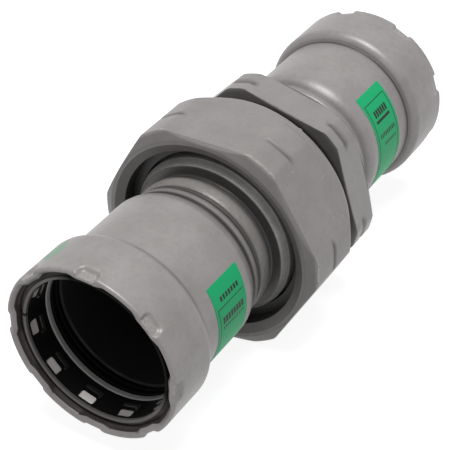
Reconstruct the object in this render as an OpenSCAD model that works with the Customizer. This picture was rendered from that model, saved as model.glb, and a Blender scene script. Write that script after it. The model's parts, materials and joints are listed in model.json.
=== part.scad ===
// Press x press pipe union for thick-walled steel pipe, 1 1/4 in (42.4 mm pipe).
// Two formed press sockets are butt-welded to the halves of a flat-faced union,
// which a hexagon union nut draws together. The pipe axis is X, the front mouth
// faces -X, and the origin is the middle of the fitting.

/* [Pipe ends] */
// Outside diameter of the pipe that both ends take
pipe_od = 42.4; // [41.8:0.1:42.8]
// Room between the pipe and the socket wall, all round
pipe_gap = 0.4; // [0.3:0.05:0.5]
// Wall of the socket's tube
tube_wall = 2.6; // [2.2:0.1:2.8]
// Length from the mouth to the rounded end of the socket's tube
socket_len = 45.5; // [43:0.1:48]
// Outside diameter of the collar that holds the rings
collar_od = 54; // [53.6:0.2:55]
// Length of the collar
collar_len = 18.7; // [18.2:0.1:20]
// Wall of the collar
collar_wall = 2.4; // [2.2:0.1:2.6]

/* [Crimped rim] */
// Number of crimps that close the rim over the rings
crimp_count = 8; // [6:1:10]
// Depth of one crimp
crimp_depth = 1.1; // [0.8:0.05:1.2]
// Width of one crimp round the rim
crimp_w = 6.6; // [5.6:0.1:7.4]
// How far one crimp reaches back from the mouth
crimp_l = 3.7; // [3.2:0.1:4.4]
// Angle of the first crimp, front end
crimp_angle_front = 3; // [0:1:44]
// Angle of the first crimp, rear end
crimp_angle_rear = 28; // [0:1:44]

/* [Grip ring and its cage] */
// Number of grip teeth, each in a window of the cage
tooth_count = 11; // [9:1:12]
// Width of one tooth round the ring
tooth_w = 4.8; // [3.6:0.1:5.2]
// Length of one tooth along the pipe
tooth_l = 2.5; // [2:0.1:2.6]
// Gap in the split grip ring
split_gap = 1.2; // [0.8:0.2:2]

/* [Union nut] */
// Width across the nut's flats
nut_af = 66; // [65:0.5:70]
// Length of the nut
nut_len = 26.9; // [26.2:0.1:28]
// Place of the turned groove across the nut's corners, from its front
nut_groove_x = 10.9; // [8:0.1:13]

/* [Threaded half] */
// Outside diameter of the parallel pipe thread, G 2
thread_od = 59.6; // [59:0.1:59.8]
// Width across the flats of the fixed hexagon
hex_af = 60; // [59:0.5:62]
// Length of the fixed hexagon
hex_len = 11.75; // [11:0.05:13]
// Turn of the fixed hexagon against the nut
hex_angle = 14.9; // [0:0.1:30]

/* [Labels] */
// Length of a label along the tube
label_l = 14.2; // [10:0.1:16]
// How far a label wraps round the tube
label_wrap = 95; // [60:5:120]
// Where the front label starts
label_angle_front = 149; // [0:0.5:200]
// Where the rear label starts
label_angle_rear = 130; // [0:0.5:200]

/* [Hidden] */
$fn = 96;

// Radii of the socket
bore_r = pipe_od/2 + pipe_gap;
tube_r = bore_r + tube_wall;
collar_r = collar_od/2;
pocket_r = collar_r - collar_wall;
water_r = 18.8;
bead_r = bore_r + 1.0;
stub_r = 21.8;

// Places along one half, measured from its mouth
rim_l = 2.0;                        // lip in front of the grip ring
grip_x = 2.1;                       // front edge of the split grip ring
grip_end = 9.4;
cage_x = 3.0;                       // front edge of the cage
cage_end = 10.7;
separator_end = 12.3;
pocket_end = 17.0;                  // the seal fills the rest of the pocket
tooth_x = 5.1;                      // middle of the teeth
stop_x = socket_len - 1.2;          // the pipe stops here
weld_x = socket_len + 7.6;          // middle of the weld seam
weld_half = 2.5;
weld_root = 0.6;

// Radii of the rings in the pocket
grip_ri = pocket_r - 1.3;
grip_lip_ri = pocket_r - 2.4;
cage_ri = bore_r + 0.5;
tooth_r = bore_r + 0.7;
window_clear = 0.25;
mould_mark_h = 0.3;

// Places along the union, measured from the front mouth
cone_x = weld_x + 5.2;              // the tail's collar starts here
cone_end = cone_x + 2.7;
flange_x = weld_x + 14.2;
flange_end = flange_x + 4.5;
gasket_t = 2.0;
face_x = flange_end + gasket_t;     // face of the threaded half
nut_x = weld_x + 3.7;
nut_end = nut_x + nut_len;
hex_x = nut_end + 4.75;
hex_end = hex_x + hex_len;
total_len = hex_end + 5.3 + weld_x;

// Radii of the union
tail_r = 25.6;
flange_r = 28.0;
lip_r = 26.3;
nut_mouth_r = 29.0;
nut_sink_r = 31.5;
nut_corner_r = nut_af/2 + 2.9;      // the corners of both hexagons are turned off
hex_corner_r = hex_af/2 + 3.0;
thread_r = thread_od/2;
nut_thread_r = thread_r + 0.3;
relief_r = 28.2;
nut_play = 0.1;                     // between the nut's lip and the flange

label_t = 0.12;
label_x = 25.1;
mark_l = 9.0;
mark_w = 7.0;
mark_x = 9.5;
mark_angle = 60;

steel = [0.62, 0.61, 0.60];
bright_steel = [0.80, 0.79, 0.78];
black = [0.08, 0.08, 0.08];
pale_grey = [0.66, 0.67, 0.66];
label_green = [0.16, 0.68, 0.45];

// ---------- shared shapes ----------

// Points of a round stretch of an outline
function arc(c, r, from, to, n = 6) =
    [for (i = [0:n]) let (a = from + (to - from)*i/n) c + r*[cos(a), sin(a)]];

// Outline given as [radius, length] points, turned about the pipe axis
module turned(outline) {
    rotate([0, 90, 0]) rotate_extrude() polygon(outline);
}

// Plain ring between two radii and two places on the pipe axis
module ring(ri, ro, from, to) {
    turned([[ri, from], [ro, from], [ro, to], [ri, to]]);
}

// Puts a half that is drawn from its mouth at the front or the rear end
module front_end() {
    translate([-total_len/2, 0, 0]) children();
}

module rear_end() {
    translate([total_len/2, 0, 0]) mirror([1, 0, 0]) children();
}

// Repeats around the pipe axis; angle 0 is +Y and 90 is +Z
module around(count, first = 0) {
    for (i = [0:count - 1]) rotate([first + i*360/count, 0, 0]) children();
}

// Hexagonal bar along X with a flat facing the angle given
module hex_bar(af, from, to, flat_angle) {
    translate([from, 0, 0]) rotate([flat_angle - 90, 0, 0]) rotate([0, 90, 0]) rotate([0, 0, 30])
        cylinder(d = af/cos(30), h = to - from, $fn = 6);
}

// ---------- press socket and its rings ----------

// The formed steel shell: bevelled rim, pocket, shoulder, tube, pipe stop, bead and stub
module socket_shell() {
    shoulder = 3.2;
    end_round = 6.2;
    rim_round = 0.95;
    turned(concat(
        [[pocket_r + 0.6, 0.95]],
        arc([collar_r - rim_round, rim_round], rim_round, -90, 0),
        arc([collar_r - shoulder, collar_len - shoulder], shoulder, 0, 78),
        [[tube_r, collar_len + 0.3]],
        arc([tube_r - end_round, socket_len - 4.2], end_round, 0, 42.5),
        [[bead_r, socket_len + 0.6], [bead_r, socket_len + 3.0],
         [bead_r - 0.2, socket_len + 3.4], [stub_r - 0.1, socket_len + 4],
         [stub_r - 0.1, weld_x - weld_half - 0.4], [stub_r, weld_x - weld_half],
         [water_r + 0.8, weld_x - weld_root], [water_r, weld_x - weld_root],
         [water_r, stop_x], [bore_r, stop_x],
         [bore_r, pocket_end + 0.5], [bore_r + 0.5, pocket_end], [pocket_r, pocket_end],
         [pocket_r, 2.6], [pocket_r + 0.4, rim_l]]));
}

// Prism along the pipe axis that widens outwards from one radius to another
module wedge(r1, w1, r2, w2, from, to) {
    translate([from, 0, 0]) rotate([90, 0, 90]) linear_extrude(to - from)
        polygon([[r1, -w1/2], [r2, -w2/2], [r2, w2/2], [r1, w1/2]]);
}

// Flat tool with tapered sides and rounded back corners; it presses one crimp
module crimp_tool() {
    face_r = collar_r - crimp_depth;
    top_r = collar_r + 0.6;
    face_l = crimp_l - 0.9;
    intersection() {
        wedge(face_r, crimp_w - 1.6, top_r, crimp_w + 1.3, -1, crimp_l + 0.6);
        translate([0, 0, -crimp_w]) linear_extrude(2*crimp_w)
            polygon([[-1, face_r], [face_l, face_r], [crimp_l + 0.6, top_r], [-1, top_r]]);
        translate([0.2, face_r - 0.5, 0]) rotate([-90, 0, 0])
            cylinder(r1 = crimp_w/2 - 0.45, r2 = crimp_w/2 + 2, h = 2.6);
    }
}

// Inside each crimp the sheet bulges towards the rings, which makes the lip wavy
module bulges() {
    inner_r = pocket_r - 0.45;
    intersection() {
        rotate([90 + 180/crimp_count, 0, 0])
            turned([[inner_r, 0.95], [inner_r + 0.95, 0], [collar_r - 1, 0],
                    [collar_r - 1, 3.15], [pocket_r + 0.1, 3.15], [inner_r, 2.5]]);
        around(crimp_count)
            wedge(inner_r - 0.5, crimp_w - 1.1, collar_r - 0.5, crimp_w + 6, -0.5, 4);
    }
}

// The shell is turned so that the start of its revolve lies between two crimps
module press_socket(first_crimp) {
    color(steel) rotate([first_crimp, 0, 0]) difference() {
        union() {
            rotate([90 + 180/crimp_count, 0, 0]) socket_shell();
            bulges();
        }
        around(crimp_count) crimp_tool();
    }
}

// One tooth or window, as a block reaching inwards from the band
module tooth_block(extra, ri, ro) {
    w = tooth_w + 2*extra;
    l = tooth_l + 2*extra;
    round_r = 0.5;
    translate([tooth_x, ri, 0]) rotate([-90, 0, 0]) linear_extrude(ro - ri) {
        square([l - 2*round_r, w], center = true);
        square([l, w - 2*round_r], center = true);
        for (sx = [-1, 1], sy = [-1, 1])
            translate([sx*(l/2 - round_r), sy*(w/2 - round_r)]) circle(round_r, $fn = 24);
    }
}

// Split stainless band with a drawn-in front lip; its teeth reach inwards through the
// cage's windows
module grip_ring(first) {
    color(bright_steel) difference() {
        union() {
            turned([[grip_lip_ri, grip_x], [grip_ri - 0.1, grip_x], [grip_ri, grip_x + 0.5],
                    [pocket_r, grip_x + 1.3], [pocket_r, grip_end], [grip_ri, grip_end],
                    [grip_ri, cage_x], [grip_lip_ri, cage_x]]);
            around(tooth_count, first) tooth_block(0, tooth_r, grip_ri + 0.4);
        }
        rotate([first + 180/tooth_count, 0, 0])
            translate([0, grip_lip_ri - 1, -split_gap/2]) cube([grip_end + 1, 4.5, split_gap]);
    }
}

// Black plastic cage: windows for the teeth and a moulded bracket behind each
module grip_cage(first) {
    bracket_x = tooth_x + tooth_l/2 + 1.2;
    bracket_w = 1.2;
    color(black) {
        difference() {
            ring(cage_ri, grip_ri, cage_x, cage_end);
            around(tooth_count, first)
                tooth_block(window_clear, cage_ri - 2, grip_ri + 1);
        }
        around(tooth_count, first) {
            translate([bracket_x, cage_ri - mould_mark_h, -tooth_w/2])
                cube([bracket_w, mould_mark_h + 0.3, tooth_w]);
            translate([bracket_x - 0.8, cage_ri - mould_mark_h, -tooth_w/2 - 0.8])
                cube([0.8 + bracket_w, mould_mark_h + 0.3, 0.9]);
        }
        ring(grip_ri, pocket_r, grip_end, cage_end);
    }
}

module separator_ring() {
    edge = 0.6;
    ri = bore_r + 0.2;
    color(pale_grey) turned(concat(
        [[pocket_r, cage_end], [pocket_r, separator_end], [ri, separator_end]],
        arc([ri + edge, cage_end + edge], edge, 180, 270)));
}

// Profiled rubber seal with two sealing beads towards the pipe
module seal_ring() {
    bead = 0.55;
    ri = bore_r + 0.1;
    span = pocket_end - separator_end;
    color(black) turned(concat(
        [[pocket_r, separator_end], [pocket_r, pocket_end], [ri + bead, pocket_end]],
        arc([ri + bead, pocket_end - 0.3*span], bead, 90, 270),
        arc([ri + bead, separator_end + 0.3*span], bead, 90, 270),
        [[ri + bead, separator_end]]));
}

// Green film wrapped round the tube; the angle is where it starts
module label(first) {
    color(label_green) rotate([first, 0, 0]) rotate([0, 90, 0]) rotate([0, 0, 90])
        rotate_extrude(angle = label_wrap)
            translate([tube_r, label_x]) square([label_t, label_l]);
}

// Oval dab of paint on the collar
module colour_mark() {
    color(label_green) intersection() {
        ring(collar_r, collar_r + label_t, mark_x - mark_l, mark_x + mark_l);
        rotate([mark_angle, 0, 0]) translate([mark_x, 0, 0]) rotate([-90, 0, 0])
            linear_extrude(collar_r + 2) scale([1, mark_w/mark_l]) circle(d = mark_l);
    }
}

// ---------- union ----------

// Butt weld between a socket's stub and its union half
module weld_seam() {
    crown = 0.9;
    color(steel) turned(concat(
        [[water_r, weld_x - weld_root], [water_r + 0.8, weld_x - weld_root],
         [stub_r, weld_x - weld_half]],
        [for (i = [1:9]) [stub_r + crown*sin(i*18), weld_x - weld_half*cos(i*18)]],
        [[stub_r, weld_x + weld_half], [water_r + 0.8, weld_x + weld_root],
         [water_r, weld_x + weld_root]]));
}

// Machined tail: recess, cone and collar that the nut runs on, flange with its seat
module tail() {
    neck_r = 20.9;
    cone_r = 24.2;
    color(steel) front_end() turned(concat(
        [[water_r, weld_x + weld_root], [water_r + 0.8, weld_x + weld_root],
         [stub_r, weld_x + weld_half], [neck_r, weld_x + weld_half + 0.6]],
        arc([neck_r + 0.8, cone_x - 0.8], 0.8, 180, 90, 5),
        [[cone_r - 0.2, cone_x], [cone_r, cone_x + 0.2],
         [tail_r - 0.3, cone_end], [tail_r, cone_end + 0.4],
         [tail_r, flange_x], [flange_r, flange_x],
         [flange_r, flange_end - 0.6], [flange_r - 0.6, flange_end], [water_r, flange_end]]));
}

module gasket() {
    color(black) front_end() ring(water_r + 1, flange_r - 0.2, flange_end, face_x);
}

// Hexagon nut: corners turned round and grooved, countersunk mouth, inner lip, thread bore
module nut() {
    groove_x = nut_x + nut_groove_x;
    color(steel) front_end() difference() {
        intersection() {
            hex_bar(nut_af, nut_x, nut_end, 90);
            turned([[0, nut_x], [nut_af/2 - 0.1, nut_x], [nut_corner_r - 0.1, nut_x + 2],
                    [nut_corner_r - 0.1, groove_x], [nut_corner_r - 0.8, groove_x + 0.1],
                    [nut_corner_r, groove_x + 2], [nut_corner_r, nut_end - 5.7],
                    [nut_af/2 - 0.5, nut_end], [0, nut_end]]);
        }
        turned([[0, nut_x - 1], [nut_sink_r + 1.8, nut_x - 1], [nut_sink_r, nut_x],
                [nut_mouth_r, nut_x + 1.4], [nut_mouth_r, nut_x + 6],
                [lip_r, nut_x + 6], [lip_r, flange_x - nut_play],
                [nut_thread_r, flange_x - nut_play], [nut_thread_r, nut_end - 1],
                [nut_thread_r + 1, nut_end], [nut_thread_r + 2, nut_end + 1], [0, nut_end + 1]]);
    }
}

// Threaded half: sealing face, thread, relief, fixed hexagon and weld neck
module body() {
    rear_weld_x = total_len - weld_x;
    color(steel) front_end() difference() {
        union() {
            turned([[0, face_x], [thread_r - 1.2, face_x], [thread_r, face_x + 1.2],
                    [thread_r, hex_x - 2.2], [relief_r, hex_x - 1.4], [relief_r, hex_x + 1],
                    [0, hex_x + 1]]);
            intersection() {
                hex_bar(hex_af, hex_x, hex_end, 90 + hex_angle);
                turned([[0, hex_x], [hex_af/2 - 0.2, hex_x], [hex_corner_r, hex_x + 0.7],
                        [hex_corner_r, hex_x + 4.25], [hex_corner_r - 1.2, hex_x + 4.35],
                        [hex_corner_r, hex_x + 6.85], [hex_corner_r, hex_end - 1.3],
                        [hex_af/2 - 0.2, hex_end], [0, hex_end]]);
            }
            turned([[0, hex_end - 1], [stub_r + 1, hex_end - 1], [stub_r + 1, hex_end + 0.6],
                    [stub_r, rear_weld_x - weld_half],
                    [water_r + 0.8, rear_weld_x - weld_root],
                    [0, rear_weld_x - weld_root]]);
        }
        translate([face_x - 1, 0, 0]) rotate([0, 90, 0]) cylinder(r = water_r, h = 60);
    }
}

// ---------- nodes ----------

module front_socket() { front_end() press_socket(crimp_angle_front); }
module front_grip_ring() { front_end() grip_ring(-8); }
module front_grip_cage() { front_end() grip_cage(-8); }
module front_separator_ring() { front_end() separator_ring(); }
module front_seal() { front_end() seal_ring(); }
module front_weld() { front_end() weld_seam(); }
module union_tail() { tail(); }
module union_gasket() { gasket(); }
module union_nut() { nut(); }
module threaded_body() { body(); }
module rear_weld() { rear_end() weld_seam(); }
module rear_socket() { rear_end() press_socket(crimp_angle_rear); }
module rear_grip_ring() { rear_end() grip_ring(12); }
module rear_grip_cage() { rear_end() grip_cage(12); }
module rear_separator_ring() { rear_end() separator_ring(); }
module rear_seal() { rear_end() seal_ring(); }
module front_label() { front_end() label(label_angle_front); }
module rear_label() { rear_end() label(label_angle_rear); }
module front_colour_mark() { front_end() colour_mark(); }

front_socket();
front_grip_ring();
front_grip_cage();
front_separator_ring();
front_seal();
front_weld();
union_tail();
union_gasket();
union_nut();
threaded_body();
rear_weld();
rear_socket();
rear_grip_ring();
rear_grip_cage();
rear_separator_ring();
rear_seal();
front_label();
rear_label();
front_colour_mark();
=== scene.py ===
"""Press pipe union for 42.4 mm steel pipe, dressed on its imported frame.

Each sub-assembly is a class that holds its sizes in millimetres. Turned and
hexagonal forms are drawn as one sector and repeated by a Geometry Nodes tree.
Angles run round the pipe axis X: 0 degrees is +Y and 90 degrees is +Z.
"""

import json
import logging
import math
from collections.abc import Callable, Iterator, Mapping, Sequence
from contextlib import contextmanager
from dataclasses import dataclass, field, replace
from enum import Enum

import bmesh
import bpy
import numpy as np
from mathutils import Matrix, Vector

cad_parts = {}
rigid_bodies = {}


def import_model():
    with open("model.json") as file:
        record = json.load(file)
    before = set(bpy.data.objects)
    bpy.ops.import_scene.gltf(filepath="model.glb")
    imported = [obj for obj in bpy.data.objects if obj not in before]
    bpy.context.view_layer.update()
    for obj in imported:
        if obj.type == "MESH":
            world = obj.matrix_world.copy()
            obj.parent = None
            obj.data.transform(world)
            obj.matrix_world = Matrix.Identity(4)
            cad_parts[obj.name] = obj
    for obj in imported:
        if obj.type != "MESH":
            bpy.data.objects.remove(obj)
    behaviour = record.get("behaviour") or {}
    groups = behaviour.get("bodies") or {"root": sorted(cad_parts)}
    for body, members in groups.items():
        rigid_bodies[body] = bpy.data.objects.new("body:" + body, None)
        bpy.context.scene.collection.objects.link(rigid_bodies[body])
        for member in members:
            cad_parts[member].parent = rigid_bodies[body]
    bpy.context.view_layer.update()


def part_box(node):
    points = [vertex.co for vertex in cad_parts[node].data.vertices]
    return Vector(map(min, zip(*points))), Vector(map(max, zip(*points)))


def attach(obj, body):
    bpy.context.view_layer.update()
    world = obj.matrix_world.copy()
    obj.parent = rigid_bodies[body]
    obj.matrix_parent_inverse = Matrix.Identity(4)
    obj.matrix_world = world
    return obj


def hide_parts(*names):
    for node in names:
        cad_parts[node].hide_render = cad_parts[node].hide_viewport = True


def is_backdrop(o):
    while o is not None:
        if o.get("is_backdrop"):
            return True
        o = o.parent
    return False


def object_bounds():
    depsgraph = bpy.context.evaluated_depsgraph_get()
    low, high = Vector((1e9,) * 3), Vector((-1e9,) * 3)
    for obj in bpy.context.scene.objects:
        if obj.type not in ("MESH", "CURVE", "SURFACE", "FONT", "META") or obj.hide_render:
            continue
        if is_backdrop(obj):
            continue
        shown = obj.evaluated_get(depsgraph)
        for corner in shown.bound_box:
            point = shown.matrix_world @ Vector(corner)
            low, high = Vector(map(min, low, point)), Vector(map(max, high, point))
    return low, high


LOG = logging.getLogger("press_union")
MM = 0.001
Piece = bpy.types.Object
Tree = bpy.types.NodeTree
Socket = bpy.types.NodeSocket
Rule = Callable[[np.ndarray], np.ndarray]
Inside = Callable[[float, float], bool]
Outline = Sequence[tuple[float, float]]
Faces = list[tuple[int, ...]]
Span = tuple[float, float, float, float]


class End(Enum):
    """The two ends of the fitting."""

    FRONT = ("front", "tail_half", 1.0)
    REAR = ("rear", "threaded_half", -1.0)

    def __init__(self, prefix: str, body: str, inward: float) -> None:
        """Keeps the start of the node names, the body it rides on and the sign of the way in."""
        self.prefix, self.body, self.inward = prefix, body, inward


# ---------------------------------------------------------------- node helpers


def linear(hex_colour: str) -> tuple[float, float, float, float]:
    """Turns an sRGB hex colour, such as "9a9694", into linear RGBA."""
    parts = [int(hex_colour[i : i + 2], 16) / 255 for i in (0, 2, 4)]
    rgb = [p / 12.92 if p <= 0.04045 else ((p + 0.055) / 1.055) ** 2.4 for p in parts]
    return (*rgb, 1.0)


def cleared(owner: bpy.types.Material | bpy.types.World) -> Tree:
    """Returns the owner's node tree, emptied."""
    owner.use_nodes = True
    owner.node_tree.nodes.clear()
    return owner.node_tree


def add(
    tree: Tree, kind: str, feeds: dict | None = None, out: int | str = 0, **settings: object
) -> Socket | bpy.types.Node:
    """Adds a node with its settings and links.

    Args:
        tree: the node tree.
        kind: the node's type name.
        feeds: for each input, a socket to link or a value to set.
        out: which output to return; -1 returns the node itself.
        **settings: properties of the node.

    Returns:
        The chosen output socket, or the node.
    """
    node = tree.nodes.new(kind)
    for name, value in settings.items():
        setattr(node, name, value)
    for key, value in (feeds or {}).items():
        if isinstance(value, Socket):
            tree.links.new(value, node.inputs[key])
        else:
            node.inputs[key].default_value = value
    return node if out == -1 or not node.outputs else node.outputs[out]


def maths(tree: Tree, operation: str, *values: Socket | float, clamp: bool = False) -> Socket:
    """Adds a Math node of these values."""
    return add(tree, "ShaderNodeMath", dict(enumerate(values)), operation=operation, use_clamp=clamp)


def ramp(tree: Tree, value: Socket, low: tuple[float, float], high: tuple[float, float]) -> Socket:
    """Maps a value between two (input, output) pairs, clamped."""
    feeds = {"Value": value, "From Min": low[0], "To Min": low[1], "From Max": high[0], "To Max": high[1]}
    return add(tree, "ShaderNodeMapRange", feeds)


def noise(tree: Tree, grain_mm: float, stretch: tuple[float, float, float] = (1, 1, 1)) -> Socket:
    """Adds noise of a real grain size on the Object coordinates.

    Args:
        tree: the material's tree.
        grain_mm: size of one grain in millimetres.
        stretch: how many times finer the grain is along each axis.

    Returns:
        The noise factor.
    """
    place = add(tree, "ShaderNodeTexCoord", out="Object")
    scale = tuple(share / (grain_mm * MM) for share in stretch)
    spread = add(tree, "ShaderNodeMapping", {"Vector": place, "Scale": scale})
    return add(tree, "ShaderNodeTexNoise", {"Vector": spread, "Scale": 1.0, "Detail": 3.0}, out="Fac")


def bump(tree: Tree, shader: bpy.types.Node, height: Socket, depth_mm: float) -> None:
    """Bumps a shader's surface by a height of a real depth."""
    feeds = {"Height": height, "Distance": depth_mm * MM, "Strength": 1.0}
    tree.links.new(add(tree, "ShaderNodeBump", feeds, out="Normal"), shader.inputs["Normal"])


def wear_and_shade(tree: Tree) -> tuple[Socket, Socket]:
    """Returns the piece's own attribute of scuffing and painted light, and its painted shade where that is
    below 0.
    """
    wear_and_painted_light = add(tree, "ShaderNodeAttribute", out="Fac", attribute_name="wear_and_painted_light")
    return wear_and_painted_light, ramp(tree, wear_and_painted_light, (0.0, 0.0), (-1.0, 1.0))


# ------------------------------------------------------------------- finishes


@dataclass(frozen=True)
class Finish:
    """A finish with its name, its slot in the record and its surface values."""

    name: str
    slot: str
    colour: str
    roughness: float
    metallic: float = 0.0

    def material(self) -> bpy.types.Material:
        """Returns this finish's material, made once."""
        found = bpy.data.materials.get(self.name)
        if found:
            return found
        made = bpy.data.materials.new(self.name)
        made.diffuse_color = linear(self.colour)
        tree = cleared(made)
        values = {"Base Color": linear(self.colour), "Roughness": self.roughness, "Metallic": self.metallic}
        shader = add(tree, "ShaderNodeBsdfPrincipled", values, out=-1)
        add(tree, "ShaderNodeOutputMaterial", {"Surface": shader.outputs[0]})
        self.detail(tree, shader)
        return made

    def detail(self, tree: Tree, shader: bpy.types.Node) -> None:
        """Adds what this finish shows beyond its plain values."""

    def coat(self, tree: Tree, shader: bpy.types.Node, *layers: tuple[Socket, str]) -> None:
        """Lays hex colours over the finish's own, each by its amount."""
        colour = linear(self.colour)
        for amount, over in layers:
            feeds = {0: amount, 6: colour, 7: linear(over)}
            colour = add(tree, "ShaderNodeMix", feeds, out=2, data_type="RGBA")
        tree.links.new(colour, shader.inputs["Base Color"])

    def roughen(
        self,
        tree: Tree,
        shader: bpy.types.Node,
        grain: Socket,
        low: tuple[float, float],
        high: tuple[float, float],
    ) -> None:
        """Varies the roughness by a noise.

        Args:
            tree: the material's tree.
            shader: the shader to feed.
            grain: the noise.
            low: a low noise value, and what it adds to the roughness.
            high: a high noise value, and what it adds to the roughness.
        """
        ends = [(value, self.roughness + change) for value, change in (low, high)]
        tree.links.new(ramp(tree, grain, *ends), shader.inputs["Roughness"])


@dataclass(frozen=True)
class ZincNickelPlate(Finish):
    """Satin zinc-nickel electroplate on carbon steel.

    Barrel plating leaves an even, warm grey, almost matt skin: cloudy stains
    and a fine grain that softens each highlight, a few pale rub marks where
    pieces knocked together, and bright scuffed metal on raised edges, which on
    the crimps' brows and the nut's front corners is partly a painted highlight.
    Creases and recesses are painted darker, as painted shade.
    """

    stain: str = "878280"
    rub: str = "bdb8b5"
    # Colour of scuffed metal on edges, also used for painted highlights.
    bare_and_glint: str = "d9d5d0"
    # Colour of the painted shade laid into creases and recesses.
    painted_shade: str = "2a2826"
    grain_mm: float = 0.35
    scratch: float = 0.35

    def detail(self, tree: Tree, shader: bpy.types.Node) -> None:
        """Adds stains, rub marks, scuffed edges with painted highlights, painted shade in creases, and grain.
        """
        cloud = ramp(tree, noise(tree, 9.0), (0.35, 0.0), (0.75, 0.45))
        mottle = ramp(tree, noise(tree, 1.6), (0.45, 0.0), (0.75, 0.25))
        stroke = ramp(tree, noise(tree, 2.4, (1.0, 6.0, 0.7)), (0.68, 0.0), (0.74, self.scratch))
        flake = ramp(tree, noise(tree, 0.5), (0.42, 0.0), (0.58, 1.0))
        wear_and_painted_light, painted_shade = wear_and_shade(tree)
        bare_and_glint = maths(tree, "MULTIPLY", wear_and_painted_light, flake, clamp=True)
        stains = ((cloud, self.stain), (mottle, self.stain))
        # The last two layers are scuffed metal with painted highlights, and painted shade.
        self.coat(tree, shader, *stains, (stroke, self.rub), (bare_and_glint, self.bare_and_glint), (painted_shade, self.painted_shade))
        grain = noise(tree, self.grain_mm)
        self.roughen(tree, shader, grain, (0.2, -0.06), (0.8, 0.08))
        bump(tree, shader, grain, 0.012)


@dataclass(frozen=True)
class DarkBore(Finish):
    """Inside of a plated steel tube.

    A dark colour with a weak, uneven sheen. In the bore and the waterway the
    dark colour and the weak sheen are painted shade.
    """

    def detail(self, tree: Tree, shader: bpy.types.Node) -> None:
        """Adds a faint unevenness to a weak sheen."""
        shader.inputs["Specular IOR Level"].default_value = 0.2
        self.roughen(tree, shader, noise(tree, 6.0, (0.4, 1.0, 1.0)), (0.3, -0.08), (0.7, 0.08))


@dataclass(frozen=True)
class StainlessStrip(Finish):
    """Cold-rolled stainless strip, stamped and bent.

    It has a fine lengthwise grain from the rolls. Where the rim's edge hangs
    over it, a painted shadow blackens it and dulls its sheen.
    """

    # Colour of the painted shadow under the rim's edge.
    shadow_colour: str = "0a0a09"

    def detail(self, tree: Tree, shader: bpy.types.Node) -> None:
        """Adds the rolled grain and the painted shadow under the rim."""
        _, painted_shadow = wear_and_shade(tree)
        self.coat(tree, shader, (painted_shadow, self.shadow_colour))
        tree.links.new(ramp(tree, painted_shadow, (0.0, 0.5), (1.0, 0.05)), shader.inputs["Specular IOR Level"])
        grain = noise(tree, 0.6, (4.0, 1.0, 1.0))
        self.roughen(tree, shader, grain, (0.3, -0.06), (0.7, 0.08))
        bump(tree, shader, grain, 0.008)


@dataclass(frozen=True)
class MouldedPlastic(Finish):
    """Injection-moulded polyamide: a closed, slightly satin skin with a fine texture."""

    def detail(self, tree: Tree, shader: bpy.types.Node) -> None:
        """Adds the moulded texture."""
        grain = noise(tree, 0.5)
        self.roughen(tree, shader, grain, (0.3, -0.05), (0.7, 0.05))
        bump(tree, shader, grain, 0.01)


@dataclass(frozen=True)
class MouldedRubber(Finish):
    """Compression-moulded EPDM: deep black with a soft, broad sheen."""

    def detail(self, tree: Tree, shader: bpy.types.Node) -> None:
        """Adds a bloom that varies and dulls the sheen."""
        shader.inputs["Specular IOR Level"].default_value = 0.06
        self.roughen(tree, shader, noise(tree, 3.0), (0.3, -0.08), (0.7, 0.06))


@dataclass(frozen=True)
class PrintedFilm(Finish):
    """Polyester label film, printed in one colour, with a dull varnish that hardly shines."""

    def detail(self, tree: Tree, shader: bpy.types.Node) -> None:
        """Adds slight unevenness where the film lies on the steel."""
        shader.inputs["Specular IOR Level"].default_value = 0.3
        bump(tree, shader, noise(tree, 4.0), 0.02)


@dataclass(frozen=True)
class PaintDab(Finish):
    """Thin dabbed paint that thins out to the edge, so that the plated steel shows through."""

    steel: str = "a39e9c"
    middle: tuple[float, float, float] = (0.0, 0.0, 0.0)
    reach_mm: float = 6.5

    def detail(self, tree: Tree, shader: bpy.types.Node) -> None:
        """Lets the steel show through in patches and towards the edge."""
        place = add(tree, "ShaderNodeTexCoord", out="Object")
        feeds = {0: place, 1: self.middle}
        apart = add(tree, "ShaderNodeVectorMath", feeds, "Value", operation="DISTANCE")
        thin = ramp(tree, apart, (0.45 * self.reach_mm * MM, 0.0), (self.reach_mm * MM, 0.9))
        patch = ramp(tree, noise(tree, 2.6), (0.3, -0.3), (0.7, 0.5))
        self.coat(tree, shader, (maths(tree, "ADD", thin, patch, clamp=True), self.steel))


TUBE_STEEL = ZincNickelPlate("zinc_nickel_formed", "plated_steel_tube", "a5a1a0", 0.38, 0.2)
# The tail's ring inside the nut's mouth gets this machined steel painted much lighter, as a painted
# highlight; the turned steel is the same with its own colour.
LIT_RING_STEEL = ZincNickelPlate("zinc_nickel_painted_light", "plated_steel_machined", "dcd9d7", 0.38, 0.2)
TURNED_STEEL = replace(LIT_RING_STEEL, name="zinc_nickel_turned", colour="9e9b9a", scratch=0.2)
NUT_STEEL = ZincNickelPlate("zinc_nickel_forged", "plated_steel_nut", "9d9998", 0.44, 0.15, scratch=0.5)
WELD_STEEL = ZincNickelPlate("zinc_nickel_weld", "weld_seam", "a29e9b", 0.40, 0.15, grain_mm=0.6)
# The bore and the waterway are the tube's steel painted near black, as painted shade; the pocket's wall is a
# darker brown-grey.
BORE_STEEL = DarkBore("bore_painted_shade", "plated_steel_tube", "2e2d2d", 0.6)
POCKET_STEEL = DarkBore("pocket_dark", "plated_steel_tube", "504a48", 0.5, 0.2)
# The teeth and the band are one stainless strip: the teeth are painted near white, as a painted highlight,
# and the band darker and duller, as painted shade.
GRIP_STEEL = StainlessStrip("stainless_teeth_painted_light", "stainless_grip", "ece6e2", 0.35, 0.2)
BAND_STEEL = StainlessStrip("stainless_band_painted_shade", "stainless_grip", "75716e", 0.55, 0.1)
CAGE_PLASTIC = MouldedPlastic("black_polyamide", "black_moulding", "0d0c0c", 0.38)
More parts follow.
